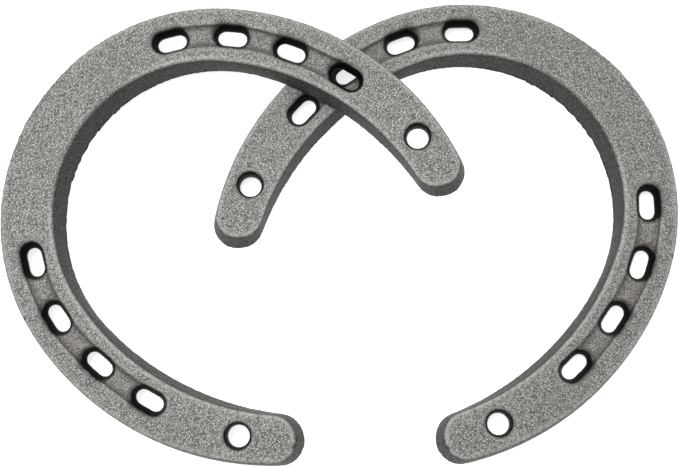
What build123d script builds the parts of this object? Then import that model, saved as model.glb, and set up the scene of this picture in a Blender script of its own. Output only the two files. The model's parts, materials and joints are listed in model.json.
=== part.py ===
from build123d import *
from math import atan2, cos, degrees, radians, sin
import os

# A loose pair of flat, creased horseshoes, one lying on the floor and the other leaning on it.
# Both are the same forging. Lengths are in millimetres and angles in degrees.
# A shoe is drawn in its own frame: toe towards +Y, foot side down at z = 0, ground side up,
# and its origin at the centre of the toe arc.

THICKNESS = 8.0

# Outer outline on the ground side. Bearings are measured from the toe, round towards the heel.
OUTER_TOE_RADIUS = 67.5
OUTER_TOE_BEARING = 63.6
OUTER_QUARTER_RADIUS = 90.3
OUTER_HEEL_BEARING = 127.9
HEEL_CORNER_RADIUS = 7.0
OUTER_DRAFT_WIDTH = 1.0
HEEL_SLOPE_WIDTH = 3.6

# Inner outlines: how far the toe is from the origin, then the two arcs of each. The inner wall
# slopes most at the toe, so the foot side has its own pair of arcs, further in.
GROUND_INNER_TOE = 51.0
GROUND_INNER_TOE_RADIUS = 49.0
GROUND_INNER_TOE_BEARING = 63.4
GROUND_INNER_QUARTER_RADIUS = 81.5
GROUND_INNER_HEEL_BEARING = 120.6
FOOT_INNER_TOE = 47.0
FOOT_INNER_TOE_RADIUS = 48.9
FOOT_INNER_TOE_BEARING = 76.9
FOOT_INNER_QUARTER_RADIUS = 95.7
FOOT_INNER_HEEL_BEARING = 117.0

GROUND_EDGE_RADIUS = 0.7
FOOT_EDGE_RADIUS = 0.4

# The crease follows its own pair of arcs, and each branch has its nail slots on that line.
CREASE_RADIUS = 58.1
CREASE_START_BEARING = 45.6
CREASE_BEND_BEARING = 74.0
CREASE_QUARTER_RADIUS = 99.5
CREASE_WIDTH = 6.8
CREASE_DEPTH = 0.9
# A slot narrows from both faces to a waist, as the two halves of its core meet there.
SLOTS_PER_BRANCH = 4
SLOT_PITCH = 19.8
SLOT_WAIST_HEIGHT = 4.4
SLOT_WAIST_LENGTH = 9.0
SLOT_WAIST_WIDTH = 4.3
SLOT_GROUND_TAPER = 24.5
SLOT_FOOT_TAPER = 17.5

# One round hole near the end of each branch, straight in the middle and widening to both faces.
HEEL_HOLE_X = 54.6
HEEL_HOLE_Y = -44.0
HEEL_HOLE_RADIUS = 3.4
HEEL_HOLE_LOW = 3.0
HEEL_HOLE_HIGH = 5.4
HEEL_HOLE_TAPER = 15.0

# How the two shoes lie. A turn is about the vertical, anticlockwise seen from above. The upper
# shoe is tilted about X and Y until it rests on the lower one and on its own far edge.
LOWER_CENTRE = (41.1, 8.2)
LOWER_TURN = -44.1
UPPER_CENTRE = (-40.6, 4.4)
UPPER_TURN = 59.0
UPPER_TILT_X = 2.46
UPPER_TILT_Y = -3.32


def on_bearing(radius, bearing):
    """A point at a bearing from the toe, about the origin."""
    return Vector(radius * sin(radians(bearing)), radius * cos(radians(bearing)))


def outer_edge(growth, heel_growth):
    """The right branch's outer arcs, grown outwards and towards the heel from the ground side's."""
    toe_radius = OUTER_TOE_RADIUS + growth
    quarter_radius = OUTER_QUARTER_RADIUS + growth
    turn = OUTER_HEEL_BEARING - OUTER_TOE_BEARING + degrees(heel_growth / quarter_radius)
    front = JernArc((0, toe_radius), (1, 0), toe_radius, -OUTER_TOE_BEARING)
    return front, JernArc(front @ 1, front % 1, quarter_radius, -turn)


def ground_inner_edge():
    """The right branch's inner arcs on the ground side."""
    turn = GROUND_INNER_HEEL_BEARING - GROUND_INNER_TOE_BEARING
    front = JernArc((0, GROUND_INNER_TOE), (1, 0), GROUND_INNER_TOE_RADIUS, -GROUND_INNER_TOE_BEARING)
    return front, JernArc(front @ 1, front % 1, GROUND_INNER_QUARTER_RADIUS, -turn)


def foot_inner_edge():
    """The right branch's inner arcs on the foot side."""
    turn = FOOT_INNER_HEEL_BEARING - FOOT_INNER_TOE_BEARING
    front = JernArc((0, FOOT_INNER_TOE), (1, 0), FOOT_INNER_TOE_RADIUS, -FOOT_INNER_TOE_BEARING)
    return front, JernArc(front @ 1, front % 1, FOOT_INNER_QUARTER_RADIUS, -turn)


def outline(height, outer_growth, heel_growth, inner_edge):
    """The U of the shoe at one height, from its outer growths and its inner arcs."""
    with BuildSketch(Plane.XY.offset(height)) as sketch:
        with BuildLine():
            outer_front, outer_side = outer_edge(outer_growth, heel_growth)
            inner_front, inner_side = inner_edge()
            Line(outer_side @ 1, inner_side @ 1)
            Line(inner_front @ 0, outer_front @ 0)
        make_face()
        heel_corners = [
            sketch.vertices().sort_by_distance(outer_side @ 1)[0],
            sketch.vertices().sort_by_distance(inner_side @ 1)[0],
        ]
        fillet(heel_corners, HEEL_CORNER_RADIUS + outer_growth)
        mirror(about=Plane.YZ)
    return sketch.sketch


with BuildLine() as crease_line:
    crease_start = on_bearing(CREASE_RADIUS, CREASE_START_BEARING)
    start_tangent = (cos(radians(CREASE_START_BEARING)), -sin(radians(CREASE_START_BEARING)))
    crease_front = JernArc(
        crease_start, start_tangent, CREASE_RADIUS, CREASE_START_BEARING - CREASE_BEND_BEARING
    )
    front_run = CREASE_RADIUS * radians(CREASE_BEND_BEARING - CREASE_START_BEARING)
    side_run = (SLOTS_PER_BRANCH - 1) * SLOT_PITCH - front_run
    JernArc(
        crease_front @ 1,
        crease_front % 1,
        CREASE_QUARTER_RADIUS,
        -degrees(side_run / CREASE_QUARTER_RADIUS),
    )
crease_wire = crease_line.wires()[0]

with BuildPart() as shoe:
    # Body of the forging, from the wider foot side up to the ground side.
    foot_side = outline(0, OUTER_DRAFT_WIDTH, HEEL_SLOPE_WIDTH, foot_inner_edge).face()
    ground_side = outline(THICKNESS, 0, 0, ground_inner_edge).face()
    loft([foot_side, ground_side], ruled=True)
    fillet(shoe.faces().sort_by(Axis.Z)[-1].edges(), GROUND_EDGE_RADIUS)
    fillet(shoe.faces().sort_by(Axis.Z)[0].edges(), FOOT_EDGE_RADIUS)

    # Shallow crease along each branch.
    with BuildSketch(Plane.XY.offset(THICKNESS)):
        with BuildLine():
            offset(crease_wire, CREASE_WIDTH / 2, kind=Kind.ARC)
        make_face()
        mirror(about=Plane.YZ)
    extrude(amount=-CREASE_DEPTH, mode=Mode.SUBTRACT)

    # Nail slots through the crease, cut up and down from the waist.
    with BuildSketch(Plane.XY.offset(SLOT_WAIST_HEIGHT), mode=Mode.PRIVATE) as slot_waists:
        for number in range(SLOTS_PER_BRANCH):
            place = crease_wire.position_at(number * SLOT_PITCH, PositionMode.LENGTH)
            run = crease_wire.tangent_at(number * SLOT_PITCH, PositionMode.LENGTH)
            with Locations(Location((place.X, place.Y), degrees(atan2(run.Y, run.X)))):
                SlotOverall(SLOT_WAIST_LENGTH, SLOT_WAIST_WIDTH)
        mirror(about=Plane.YZ)
    slot_top = THICKNESS - SLOT_WAIST_HEIGHT
    extrude(slot_waists.sketch, amount=slot_top, taper=-SLOT_GROUND_TAPER, mode=Mode.SUBTRACT)
    extrude(slot_waists.sketch, amount=-SLOT_WAIST_HEIGHT, taper=-SLOT_FOOT_TAPER, mode=Mode.SUBTRACT)

    # Heel holes: a straight middle with a cone above and below it.
    hole_centres = [(side * HEEL_HOLE_X, HEEL_HOLE_Y) for side in (-1, 1)]
    with BuildSketch(Plane.XY.offset(HEEL_HOLE_LOW), mode=Mode.PRIVATE) as low_circles:
        with Locations(*hole_centres):
            Circle(HEEL_HOLE_RADIUS)
    with BuildSketch(Plane.XY.offset(HEEL_HOLE_HIGH), mode=Mode.PRIVATE) as high_circles:
        with Locations(*hole_centres):
            Circle(HEEL_HOLE_RADIUS)
    extrude(low_circles.sketch, amount=HEEL_HOLE_HIGH - HEEL_HOLE_LOW, mode=Mode.SUBTRACT)
    extrude(low_circles.sketch, amount=-HEEL_HOLE_LOW, taper=-HEEL_HOLE_TAPER, mode=Mode.SUBTRACT)
    hole_top = THICKNESS - HEEL_HOLE_HIGH
    extrude(high_circles.sketch, amount=hole_top, taper=-HEEL_HOLE_TAPER, mode=Mode.SUBTRACT)

# Set both shoes down, then centre the pair about the origin with the floor at z = 0.
lower_rest = Location(LOWER_CENTRE, (0, 0, LOWER_TURN))
upper_rest = Location(UPPER_CENTRE, (UPPER_TILT_X, UPPER_TILT_Y, UPPER_TURN))
upper_rest = Location((0, 0, -shoe.part.moved(upper_rest).bounding_box().min.Z)) * upper_rest
pair = Compound([shoe.part.moved(lower_rest), shoe.part.moved(upper_rest)])
middle = pair.bounding_box().center()
to_origin = Location((-middle.X, -middle.Y, 0))

with BuildPart() as lower_shoe:
    with Locations(to_origin * lower_rest):
        add(shoe.part)

with BuildPart() as upper_shoe:
    with Locations(to_origin * upper_rest):
        add(shoe.part)

os.makedirs("parts", exist_ok=True)
lower_shoe.part.label = "lower_shoe"
export_step(lower_shoe.part, "parts/lower_shoe.step")
upper_shoe.part.label = "upper_shoe"
export_step(upper_shoe.part, "parts/upper_shoe.step")
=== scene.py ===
import json
from math import cos, radians, sin

import bpy
import numpy as np
from mathutils import Matrix, Vector


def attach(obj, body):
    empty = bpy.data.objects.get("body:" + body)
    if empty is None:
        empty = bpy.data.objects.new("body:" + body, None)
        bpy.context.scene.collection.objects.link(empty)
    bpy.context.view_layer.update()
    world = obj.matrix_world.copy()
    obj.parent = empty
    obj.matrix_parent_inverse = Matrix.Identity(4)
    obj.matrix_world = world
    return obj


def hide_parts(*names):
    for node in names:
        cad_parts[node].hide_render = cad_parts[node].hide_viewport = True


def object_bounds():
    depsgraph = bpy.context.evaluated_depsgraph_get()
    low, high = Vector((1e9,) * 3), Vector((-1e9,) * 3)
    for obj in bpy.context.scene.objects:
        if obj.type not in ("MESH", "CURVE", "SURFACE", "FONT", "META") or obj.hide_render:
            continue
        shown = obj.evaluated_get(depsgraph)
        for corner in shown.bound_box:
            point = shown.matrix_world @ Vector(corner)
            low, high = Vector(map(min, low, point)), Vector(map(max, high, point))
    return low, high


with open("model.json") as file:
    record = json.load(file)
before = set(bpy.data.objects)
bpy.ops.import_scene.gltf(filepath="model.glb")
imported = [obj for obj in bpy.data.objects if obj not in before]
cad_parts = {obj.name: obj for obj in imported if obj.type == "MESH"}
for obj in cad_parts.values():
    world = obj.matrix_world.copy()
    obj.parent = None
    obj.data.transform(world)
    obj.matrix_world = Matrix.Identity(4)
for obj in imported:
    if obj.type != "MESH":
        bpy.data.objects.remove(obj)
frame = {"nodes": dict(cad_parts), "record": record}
cad_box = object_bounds()

MM = 0.001

# ---------------------------------------------------------------- the shoe's own frame
# Toe towards +Y, foot side at z = 0, ground side up, origin at the centre of the toe arc.
THICKNESS = 8.0 * MM
HEEL_HOLE = (54.6 * MM, -44.0 * MM, 4.2 * MM)
HEEL_HOLE_MOUTH = 4.1 * MM
CREASE_RADIUS = 58.1 * MM
CREASE_START = radians(45.6)
CREASE_BEND = radians(74.0)
CREASE_QUARTER_RADIUS = 99.5 * MM
CREASE_WIDTH = 6.8 * MM
SLOTS = 4
SLOT_PITCH = 19.8 * MM
SLOT_LENGTH = 11.6 * MM
SLOT_WIDTH = 6.9 * MM
WAIST_HEIGHT = 4.4 * MM
TOE_RIM = (0.0, 51.0 * MM)

# ---------------------------------------------------------------- surface quality
VOXEL = 0.47 * MM
SMOOTH_ROUNDS = 2
SKIN_ALLOWANCE = 0.03 * MM

# An edge is what stands out from the skin after this many rounds of smoothing, and it counts
# in full once it stands out this far.
SHELTER_ROUNDS = 12
EDGE_STEP = 0.10 * MM

# How deep the finish goes: broad swell, fine grain, and the wear along edges.
SWELL_DEPTH = 0.020 * MM
GRAIN_DEPTH = 0.030 * MM
EDGE_WEAR_DEPTH = 0.07 * MM

# The toe's inner rim is ragged within this reach of its middle.
TOE_RIM_REACH = 18 * MM
TOE_RIM_FADE = 6 * MM
TOE_RIM_RAGGEDNESS = 2.2


def shoe_placement(name):
    """The matrix from a shoe's own frame to the model's, from its two heel holes."""
    mounts = {mount["name"]: mount for mount in frame["record"]["mounts"]}
    left = Vector(mounts[name + "_heel_hole_left"]["pos_m"])
    right = Vector(mounts[name + "_heel_hole_right"]["pos_m"])
    up = Vector(mounts[name + "_heel_hole_left"]["axis"]).normalized()
    across = (right - left).normalized()
    ahead = up.cross(across).normalized()
    turn = Matrix((across, ahead, up)).transposed().to_4x4()
    origin = (left + right) / 2 - turn @ Vector((0, HEEL_HOLE[1], HEEL_HOLE[2]))
    return Matrix.Translation(origin) @ turn


def crease_point(run):
    """The point and heading on the right branch's crease line, run metres on from its first slot."""
    front = CREASE_RADIUS * (CREASE_BEND - CREASE_START)
    if run <= front:
        bearing = CREASE_START + run / CREASE_RADIUS
        centre = np.zeros(2)
        radius = CREASE_RADIUS
    else:
        bearing = CREASE_BEND + (run - front) / CREASE_QUARTER_RADIUS
        back = CREASE_RADIUS - CREASE_QUARTER_RADIUS
        centre = back * np.array((sin(CREASE_BEND), cos(CREASE_BEND)))
        radius = CREASE_QUARTER_RADIUS
    outwards = np.array((sin(bearing), cos(bearing)))
    heading = np.array((cos(bearing), -sin(bearing)))
    return centre + radius * outwards, heading


# ---------------------------------------------------------------- mesh tools
def lattice_noise(points, size, seed):
    """Smooth value noise from -1 to 1 at the given grain size, the same on every run."""
    cell = points / size
    base = np.floor(cell).astype(np.int64)
    part = cell - base
    part = part * part * (3 - 2 * part)
    total = np.zeros(len(points))
    for corner in range(8):
        step = np.array((corner & 1, corner >> 1 & 1, corner >> 2 & 1))
        key = base + step
        mixed = key[:, 0] * 73856093 ^ key[:, 1] * 19349663 ^ key[:, 2] * 83492791 ^ seed * 2654435761
        mixed = (mixed ^ mixed >> 13) * 1274126177 & 0x7FFFFFFF
        mixed = (mixed ^ mixed >> 16) & 0xFFFF
        weight = np.prod(np.where(step, part, 1 - part), axis=1)
        total += weight * (mixed / 32767.5 - 1)
    return total


class Surface:
    """A mesh held as arrays, with the smoothing that the finishing steps need."""

    def __init__(self, mesh):
        self.mesh = mesh
        self.points = np.empty(len(mesh.vertices) * 3)
        mesh.vertices.foreach_get("co", self.points)
        self.points = self.points.reshape(-1, 3)
        edges = np.empty(len(mesh.edges) * 2, dtype=np.int64)
        mesh.edges.foreach_get("vertices", edges)
        edges = edges.reshape(-1, 2)
        self.start = np.concatenate((edges[:, 0], edges[:, 1]))
        self.end = np.concatenate((edges[:, 1], edges[:, 0]))
        self.count = np.bincount(self.start, minlength=len(self.points)).clip(1)

    def average(self, values):
        """Each vertex's mean over its neighbours, for one value or three."""
        if values.ndim == 1:
            total = np.bincount(self.start, weights=values[self.end], minlength=len(self.count))
            return total / self.count
        return np.stack([self.average(values[:, axis]) for axis in range(3)], axis=1)

    def smooth(self, values, rounds, strength=0.5):
        """Values relaxed towards their neighbours."""
        for _ in range(rounds):
            values = values + strength * (self.average(values) - values)
        return values

    def normals(self):
        """The outward normal of each vertex as it stands now."""
        self.write()
        normals = np.empty(len(self.points) * 3)
        self.mesh.vertices.foreach_get("normal", normals)
        return normals.reshape(-1, 3)

    def write(self):
        """Puts the points back into the mesh."""
        self.mesh.vertices.foreach_set("co", self.points.ravel())
        self.mesh.update()

    def store(self, name, values):
        """Keeps one number per vertex for the material to read."""
        layer = self.mesh.attributes.new(name, "FLOAT", "POINT")
        layer.data.foreach_set("value", values.astype(np.float32))


def remeshed_copy(node, to_local):
    """The CAD shoe in its own frame, as an even fine quad mesh."""
    rough = bpy.data.objects.new("rough", node.data.copy())
    rough.data.transform(to_local)
    bpy.context.scene.collection.objects.link(rough)
    remesh = rough.modifiers.new("even", "REMESH")
    remesh.mode = "VOXEL"
    remesh.voxel_size = VOXEL
    view = bpy.context.evaluated_depsgraph_get()
    mesh = bpy.data.meshes.new_from_object(rough.evaluated_get(view))
    bpy.data.objects.remove(rough)
    return mesh


# ---------------------------------------------------------------- the forging's details
# Small flaws: place in the shoe's own frame, radius and depth, all in millimetres.
CHIPS = (
    ((-45.2, -61.0, 7.4), 1.7, 0.55),
    ((-42.4, -60.4, 7.2), 1.4, 0.45),
    ((-48.2, -60.8, 7.7), 1.2, 0.35),
    ((51.5, -39.5, 8.0), 0.5, 0.15),
    ((38.6, 55.8, 8.0), 0.8, 0.20),
    ((-58.4, 33.0, 7.9), 0.7, 0.30),
)
CREASE_STEPS = 60
FAR = 1.0


def on_branch(points):
    """Each point's place in plan, folded onto the right branch."""
    return np.column_stack((np.abs(points[:, 0]), points[:, 1]))


def slot_distance(points, outwards=0.0, toewards=0.0):
    """Distance in plan outside the nearest nail slot's mouth, which may be shifted for the query."""
    flat = on_branch(points)
    half_run = (SLOT_LENGTH - SLOT_WIDTH) / 2
    nearest = np.full(len(flat), FAR)
    for number in range(SLOTS):
        centre, heading = crease_point(number * SLOT_PITCH)
        outward = np.array((-heading[1], heading[0]))
        middle = centre + outwards * outward - toewards * heading
        along = ((flat - middle) @ heading).clip(-half_run, half_run)
        distance = np.linalg.norm(flat - middle - along[:, None] * heading, axis=1)
        nearest = np.minimum(nearest, distance - SLOT_WIDTH / 2)
    return nearest


def crease_offset(points):
    """Signed distance from the crease's centre line over its length, outwards, in metres."""
    flat = on_branch(points)
    nearest = np.full(len(flat), FAR)
    signed = np.full(len(flat), FAR)
    for step in range(CREASE_STEPS + 1):
        centre, heading = crease_point(step / CREASE_STEPS * (SLOTS - 1) * SLOT_PITCH)
        away = flat - centre
        distance = np.linalg.norm(away, axis=1)
        side = np.sign(away @ np.array((-heading[1], heading[0])))
        signed = np.where(distance < nearest, side * distance, signed)
        nearest = np.minimum(nearest, distance)
    return signed


def heel_hole_distance(points):
    """Distance in plan outside the nearer heel hole's mouth."""
    away = on_branch(points) - np.array(HEEL_HOLE[:2])
    return np.linalg.norm(away, axis=1) - HEEL_HOLE_MOUTH


def soft_edge(distance, width):
    """One inside an edge, fading to zero over the given width outside it."""
    return np.exp(-(distance.clip(0, FAR) / width) ** 2)


def toe_rim(places):
    """One at the middle of the toe's inner rim, fading to zero away from it."""
    away = np.linalg.norm(places[:, :2] - TOE_RIM, axis=1)
    return soft_edge(away - TOE_RIM_REACH, TOE_RIM_FADE)


def finish_depth(places, convex, ragged):
    """How far the skin goes in at each vertex for its swell, its grain and the wear along its edges.
    """
    swell = lattice_noise(places, 11 * MM, 11) * 0.6 + lattice_noise(places, 5 * MM, 12) * 0.4
    grain = lattice_noise(places, 1.7 * MM, 13) * 0.3 + lattice_noise(places, 0.85 * MM, 14) * 0.7
    depth = SKIN_ALLOWANCE + SWELL_DEPTH * (1 + swell) + GRAIN_DEPTH * (1 + grain)
    wear = EDGE_WEAR_DEPTH * (0.7 + ragged).clip(0, 2)
    return depth + convex * wear * (1 + TOE_RIM_RAGGEDNESS * toe_rim(places))


def chip_depth(places, ragged):
    """How far the skin goes in for the small flaws, and where they are, from zero to one."""
    depth = np.zeros(len(places))
    chipped = np.zeros(len(places))
    for place, radius, deepest in CHIPS:
        away = np.linalg.norm(places - np.array(place) * MM, axis=1) / (radius * MM)
        bite = (1.0 - away + 0.25 * ragged).clip(0, 1)
        depth += deepest * MM * bite ** 0.6
        chipped = np.maximum(chipped, bite.clip(0, 0.4) / 0.4)
    return depth, chipped


def store_masks(skin, places, normals, convex, hollow_shade, chipped):
    """Keeps what the material needs to know about each vertex."""
    walls = 1 - np.abs(skin.smooth(normals, 2)[:, 2]).clip(0, 1)
    holes = np.minimum(slot_distance(places), heel_hole_distance(places))
    crease = crease_offset(places)
    on_ground_side = (places[:, 2] > 0.75 * THICKNESS).astype(float)
    on_upper_half = places[:, 2] > 0.5 * THICKNESS

    along_crease = soft_edge(np.abs(np.abs(crease) - CREASE_WIDTH / 2), 0.9 * MM)
    # Partly wear, partly painted highlight: the convex edges of the upper half, painted bright.
    worn_and_highlight = convex * (1 - 0.85 * along_crease) * (1 - soft_edge(holes, 1.2 * MM))
    # Partly a smear, partly painted shadow: a dark patch shifted outwards and towards the toe from
    # each slot mouth, and a ring round every hole.
    smudge_and_shade = soft_edge(slot_distance(places, 0.70 * MM, 0.55 * MM), 0.85 * MM)
    # Painted shade along the crease's outer edge.
    outer_edge_shade = np.exp(-((crease - CREASE_WIDTH / 2) / (0.35 * MM)) ** 2)

    skin.store("wall", walls)
    skin.store("worn_and_highlight", worn_and_highlight * (1 - 0.8 * toe_rim(places)) * on_upper_half)
    # Painted shade at the foot of the walls, next to the floor.
    skin.store("foot_shade", soft_edge(places[:, 2] - 0.4 * MM, 1.1 * MM))
    skin.store("hollow_shade", hollow_shade)
    # Slot and hole walls, which the material paints black as painted shade.
    skin.store("hole", skin.smooth(((holes < 0.25 * MM) & (walls > 0.22)).astype(float), 1))
    skin.store("smudge_and_shade", np.maximum(smudge_and_shade, soft_edge(holes, 0.6 * MM)) * on_ground_side)
    skin.store("crease", soft_edge(np.abs(crease) - CREASE_WIDTH / 2, 0.2 * MM) * on_ground_side)
    skin.store("crease_edge_shade", outer_edge_shade * on_ground_side)
    skin.store("chip", chipped)
    layer = skin.mesh.attributes.new("place", "FLOAT_VECTOR", "POINT")
    layer.data.foreach_set("vector", places.astype(np.float32).ravel())


def finished_forging(node, to_local):
    """The shoe's mesh with wear along its edges, grain and flaws, and the masks its material reads.
    """
    skin = Surface(remeshed_copy(node, to_local))
    low = skin.points.min(axis=0)
    high = skin.points.max(axis=0)
    skin.points = skin.smooth(skin.points, SMOOTH_ROUNDS)

    normals = skin.normals()
    sheltered = skin.smooth(skin.points, SHELTER_ROUNDS)
    edge = np.einsum("ij,ij->i", skin.points - sheltered, normals) / EDGE_STEP
    convex = skin.smooth(edge.clip(0, 1), 1)
    # Concave spots, which the material darkens as painted shade.
    hollow_shade = skin.smooth((-edge).clip(0, 1), 1)

    places = skin.points.copy()
    ragged = lattice_noise(places, 1.9 * MM, 15) * 0.6 + lattice_noise(places, 0.9 * MM, 16)
    flaws, chipped = chip_depth(places, ragged)
    sink = finish_depth(places, convex, ragged) + flaws
    skin.points = skin.points - normals * sink[:, None]
    skin.points = skin.points.clip(low + SKIN_ALLOWANCE / 2, high - SKIN_ALLOWANCE / 2)
    skin.write()

    store_masks(skin, places, normals, convex, hollow_shade, chipped)
    skin.mesh.shade_smooth()
    return skin.mesh


def mirrored(mesh):
    """A left for right copy, which lies the other way round."""
    copy = mesh.copy()
    copy.transform(Matrix.Scale(-1, 4, (1, 0, 0)))
    copy.flip_normals()
    return copy


# ---------------------------------------------------------------- material
class Nodes:
    """Short names for the shader nodes that the materials are built from."""

    def __init__(self, name):
        self.material = bpy.data.materials.new(name)
        self.material.use_nodes = True
        self.tree = self.material.node_tree
        self.shader = self.tree.nodes["Principled BSDF"]

    def link(self, source, target):
        self.tree.links.new(source, target)

    def new(self, kind, **settings):
        node = self.tree.nodes.new(kind)
        for key, value in settings.items():
            setattr(node, key, value)
        return node

    def attribute(self, name):
        return self.new("ShaderNodeAttribute", attribute_name=name).outputs["Fac"]

    def place(self):
        """A point's place in the shoe's own frame, which the mesh carries."""
        return self.new("ShaderNodeAttribute", attribute_name="place").outputs["Vector"]

    def height(self, place):
        node = self.new("ShaderNodeSeparateXYZ")
        self.link(place, node.inputs["Vector"])
        return node.outputs["Z"]

    def noise(self, place, size, detail, roughness=0.5):
        node = self.new("ShaderNodeTexNoise")
        node.inputs["Scale"].default_value = 1 / size
        node.inputs["Detail"].default_value = detail
        node.inputs["Roughness"].default_value = roughness
        self.link(place, node.inputs["Vector"])
        return node.outputs["Fac"]

    def ranged(self, value, low, high, out_low=0.0, out_high=1.0):
        node = self.new("ShaderNodeMapRange")
        self.link(value, node.inputs["Value"])
        node.inputs["From Min"].default_value = low
        node.inputs["From Max"].default_value = high
        node.inputs["To Min"].default_value = out_low
        node.inputs["To Max"].default_value = out_high
        return node.outputs["Result"]

    def maths(self, operation, first, second):
        node = self.new("ShaderNodeMath", operation=operation)
        for socket, value in zip(node.inputs, (first, second)):
            if isinstance(value, (int, float)):
                socket.default_value = value
            else:
                self.link(value, socket)
        return node.outputs["Value"]

    def blended(self, amount, first, second):
        node = self.new("ShaderNodeMix", data_type="RGBA")
        self.link(amount, node.inputs["Factor"])
        for socket, value in ((node.inputs["A"], first), (node.inputs["B"], second)):
            if isinstance(value, tuple):
                socket.default_value = (*value, 1)
            else:
                self.link(value, socket)
        return node.outputs["Result"]


# Colours of the ground side: its grain from pit to fleck, what dulls it, and what marks it, with
# painted glints, painted shade and painted highlight among them.
PIT = (0.044, 0.042, 0.039)
FLECK = (0.300, 0.293, 0.277)
DULL = (0.138, 0.134, 0.126)
PATCH = (0.132, 0.122, 0.108)
# Painted glints: bright specks on the grain.
SPARKLE = (0.66, 0.65, 0.62)
GROOVE = (0.124, 0.118, 0.109)
# Painted shade along the crease's outer edge.
CREASE_EDGE_SHADE = (0.070, 0.064, 0.056)
RUST = (0.19, 0.145, 0.10)
# Partly a dark smear, partly painted shadow beside the slot and hole mouths.
SOOT_AND_SHADE = (0.020, 0.017, 0.014)
# Painted shade in concave spots.
HOLLOW_SHADE = (0.060, 0.054, 0.046)
# Partly wear, partly painted highlight along the edges.
WORN_AND_HIGHLIGHT = (0.42, 0.414, 0.396)
CHIP = (0.060, 0.056, 0.050)

# Colours of the walls, painted darker than the ground side as painted shade, from their grain down to
# their foot, where the painted shade is deepest, and inside the slots and holes, with painted shade
# and a painted highlight.
WALL_PIT = (0.020, 0.019, 0.018)
WALL_FLECK = (0.098, 0.094, 0.088)
WALL_PATCH = (0.055, 0.052, 0.047)
# Painted shade at the foot of the walls.
WALL_FOOT_SHADE = (0.010, 0.009, 0.008)
# Painted shade inside the slots and holes.
HOLE = (0.004, 0.004, 0.004)
# A painted highlight ring where the slots are narrowest.
WAIST = (0.22, 0.21, 0.19)


def ground_side_colour(n, place, fine, grit):
    """Sand-blasted grain with its flecks and painted glints, then the crease with painted shade along
    its outer edge, stains, dark smears that are partly painted shadow, painted shade in concave
    spots, and bright edges that are partly wear, partly painted highlight.
    """
    patch = n.noise(place, 16 * MM, 3.0)
    stain = n.noise(place, 4.5 * MM, 3.0, 0.6)
    # Painted glints: bright specks scattered over the grain.
    sparkle = n.ranged(n.noise(place, 0.42 * MM, 0.0), 0.64, 0.72, 0, 0.75)
    colour = n.blended(n.ranged(fine, 0.34, 0.66), PIT, FLECK)
    colour = n.blended(n.ranged(grit, 0.35, 0.65, 0, 0.40), colour, DULL)
    colour = n.blended(n.ranged(patch, 0.45, 0.75, 0, 0.30), colour, PATCH)
    colour = n.blended(sparkle, colour, SPARKLE)

    # Painted shade along the crease's outer edge, ragged with the grit.
    line = n.maths("MULTIPLY", n.attribute("crease_edge_shade"), n.ranged(grit, 0.35, 0.6, 0.25, 0.85))
    rust = n.maths("MULTIPLY", n.attribute("crease"), n.ranged(stain, 0.55, 0.70, 0, 0.35))
    # Partly a dark smear, partly painted shadow round the slot mouths.
    soot_and_shade = n.maths("MULTIPLY", n.attribute("smudge_and_shade"), n.ranged(stain, 0.30, 0.60, 0.60, 1.0))
    # Partly wear, partly painted highlight along the edges.
    worn_and_highlight = n.maths("MULTIPLY", n.attribute("worn_and_highlight"), n.ranged(grit, 0.35, 0.60, 0.10, 0.80))
    colour = n.blended(n.maths("MULTIPLY", n.attribute("crease"), 0.22), colour, GROOVE)
    colour = n.blended(line, colour, CREASE_EDGE_SHADE)
    colour = n.blended(rust, colour, RUST)
    colour = n.blended(soot_and_shade, colour, SOOT_AND_SHADE)
    # Painted shade in concave spots.
    colour = n.blended(n.maths("MULTIPLY", n.attribute("hollow_shade"), 0.5), colour, HOLLOW_SHADE)
    return n.blended(worn_and_highlight, colour, WORN_AND_HIGHLIGHT)


def shaded_wall_colour(n, fine, grit):
    """Grain painted darker as painted shade, with the most painted shade along the foot."""
    colour = n.blended(n.ranged(fine, 0.3, 0.7), WALL_PIT, WALL_FLECK)
    colour = n.blended(n.ranged(grit, 0.45, 0.75, 0, 0.5), colour, WALL_PATCH)
    # Painted shade, darkest at the foot of the walls.
    return n.blended(n.maths("MULTIPLY", n.attribute("foot_shade"), 0.85), colour, WALL_FOOT_SHADE)


def hole_shade_and_highlight(n, place, colour):
    """Painted shade, black, inside the slots and holes, with a paler painted highlight ring where the
    slots are narrowest.
    """
    colour = n.blended(n.attribute("hole"), colour, HOLE)
    # A painted highlight ring at the slots' narrowest height.
    above = n.ranged(n.height(place), WAIST_HEIGHT, WAIST_HEIGHT + 0.5 * MM, 1, 0)
    below = n.ranged(n.height(place), WAIST_HEIGHT - 0.4 * MM, WAIST_HEIGHT, 0, 1)
    ring = n.maths("MULTIPLY", n.maths("MULTIPLY", above, below), n.attribute("hole"))
    return n.blended(n.maths("MULTIPLY", ring, 0.6), colour, WAIST)


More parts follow.
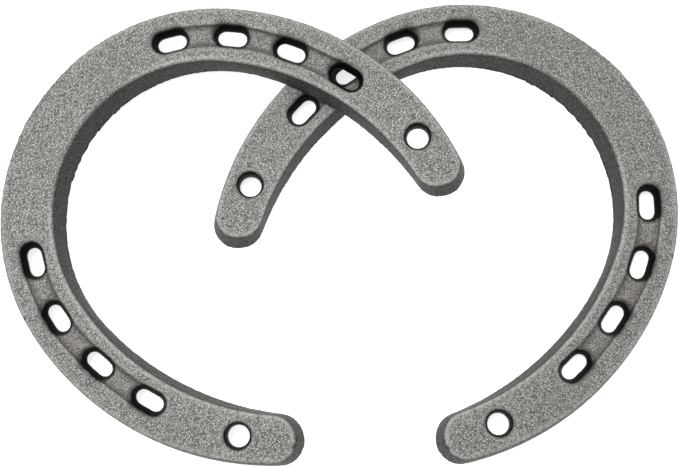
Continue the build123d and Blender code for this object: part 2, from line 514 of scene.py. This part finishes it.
def blasted_steel():
    """Bare cast steel: sand-blasted grey grain, walls painted darker as painted shade, bright edges
    from wear and painted highlight, faint rust tints.
    """
    n = Nodes("cast_steel")
    place = n.place()
    fine = n.noise(place, 0.46 * MM, 1.0, 0.7)
    grit = n.noise(place, 0.85 * MM, 2.0, 0.6)
    wall = n.ranged(n.attribute("wall"), 0.20, 0.55)

    # Walls take the darker colours: painted shade on the sides.
    colour = n.blended(wall, ground_side_colour(n, place, fine, grit), shaded_wall_colour(n, fine, grit))
    colour = hole_shade_and_highlight(n, place, colour)
    colour = n.blended(n.maths("MULTIPLY", n.attribute("chip"), 0.8), colour, CHIP)
    n.link(colour, n.shader.inputs["Base Color"])

    n.link(n.ranged(fine, 0.3, 0.7, 0.66, 0.46), n.shader.inputs["Roughness"])
    n.shader.inputs["Metallic"].default_value = 0.35
    n.link(n.ranged(wall, 0, 1, 0.35, 0.08), n.shader.inputs["Specular IOR Level"])

    height = n.maths("ADD", n.maths("MULTIPLY", fine, 0.7), n.maths("MULTIPLY", grit, 0.8))
    bump = n.new("ShaderNodeBump")
    bump.inputs["Strength"].default_value = 0.8
    bump.inputs["Distance"].default_value = 0.12 * MM
    n.link(height, bump.inputs["Height"])
    n.link(bump.outputs["Normal"], n.shader.inputs["Normal"])
    return n.material


# ---------------------------------------------------------------- pieces
def make_shoe(name, mesh, placement, steel):
    """One finished shoe in the place of its CAD node."""
    mesh.transform(placement)
    mesh.materials.clear()
    mesh.materials.append(steel)
    piece = bpy.data.objects.new("forged_" + name, mesh)
    bpy.context.scene.collection.objects.link(piece)
    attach(piece, name)
    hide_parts(name)


# ---------------------------------------------------------------- stage
FLOOR_SIZE = 3.0
FLOOR_GLOW = 0.72
WORLD_STRENGTH = 0.44


def make_floor():
    """A plain pale floor that glows a little, so that it renders nearly white."""
    bpy.ops.mesh.primitive_plane_add(size=FLOOR_SIZE, location=(0, 0, cad_box[0][2]))
    floor = bpy.context.object
    floor.name = "floor"
    paint = bpy.data.materials.new("floor_paint")
    paint.use_nodes = True
    shader = paint.node_tree.nodes["Principled BSDF"]
    shader.inputs["Base Color"].default_value = (0.85, 0.85, 0.85, 1)
    shader.inputs["Roughness"].default_value = 0.9
    shader.inputs["Specular IOR Level"].default_value = 0.1
    shader.inputs["Emission Color"].default_value = (1, 1, 1, 1)
    shader.inputs["Emission Strength"].default_value = FLOOR_GLOW
    floor.data.materials.append(paint)


def make_light(name, position, size, power):
    """A square soft light aimed at the middle of the floor."""
    data = bpy.data.lights.new(name, "AREA")
    data.shape = "SQUARE"
    data.size = size
    data.energy = power
    lamp = bpy.data.objects.new(name, data)
    lamp.location = position
    lamp.rotation_euler = (-Vector(position)).to_track_quat("-Z", "Y").to_euler()
    bpy.context.scene.collection.objects.link(lamp)


def make_world():
    """Even soft light from all round."""
    world = bpy.data.worlds.new("studio")
    world.use_nodes = True
    background = world.node_tree.nodes["Background"]
    background.inputs["Color"].default_value = (1, 1, 1, 1)
    background.inputs["Strength"].default_value = WORLD_STRENGTH
    bpy.context.scene.world = world


CAMERA_DISTANCE = 0.4225
CAMERA_TILT = radians(10.5)
CAMERA_AIM = Vector((-0.0003, -0.0010, 0))
CAMERA_LENS = 68.9


def make_camera():
    """Almost straight above, tipped back towards the near edge."""
    data = bpy.data.cameras.new("camera")
    data.lens = CAMERA_LENS
    data.sensor_width = 36
    data.clip_start = 0.01
    camera = bpy.data.objects.new("camera", data)
    back = Vector((0, -sin(CAMERA_TILT), cos(CAMERA_TILT)))
    camera.location = CAMERA_AIM + CAMERA_DISTANCE * back
    camera.rotation_euler = (CAMERA_TILT, 0, 0)
    bpy.context.scene.collection.objects.link(camera)
    bpy.context.scene.camera = camera


bpy.context.scene.view_settings.view_transform = "Standard"
make_camera()
make_floor()
make_world()
make_light("key", position=(-0.30, 0.10, 0.95), size=0.7, power=7.2)
make_light("fill", position=(0.5, 0.5, 0.9), size=0.9, power=4.0)

steel = blasted_steel()
upper_place = shoe_placement("upper_shoe")
lower_place = shoe_placement("lower_shoe")
forging = finished_forging(frame["nodes"]["lower_shoe"], lower_place.inverted())
lower_forging = mirrored(forging)
make_shoe("upper_shoe", forging, upper_place, steel)
make_shoe("lower_shoe", lower_forging, lower_place, steel)
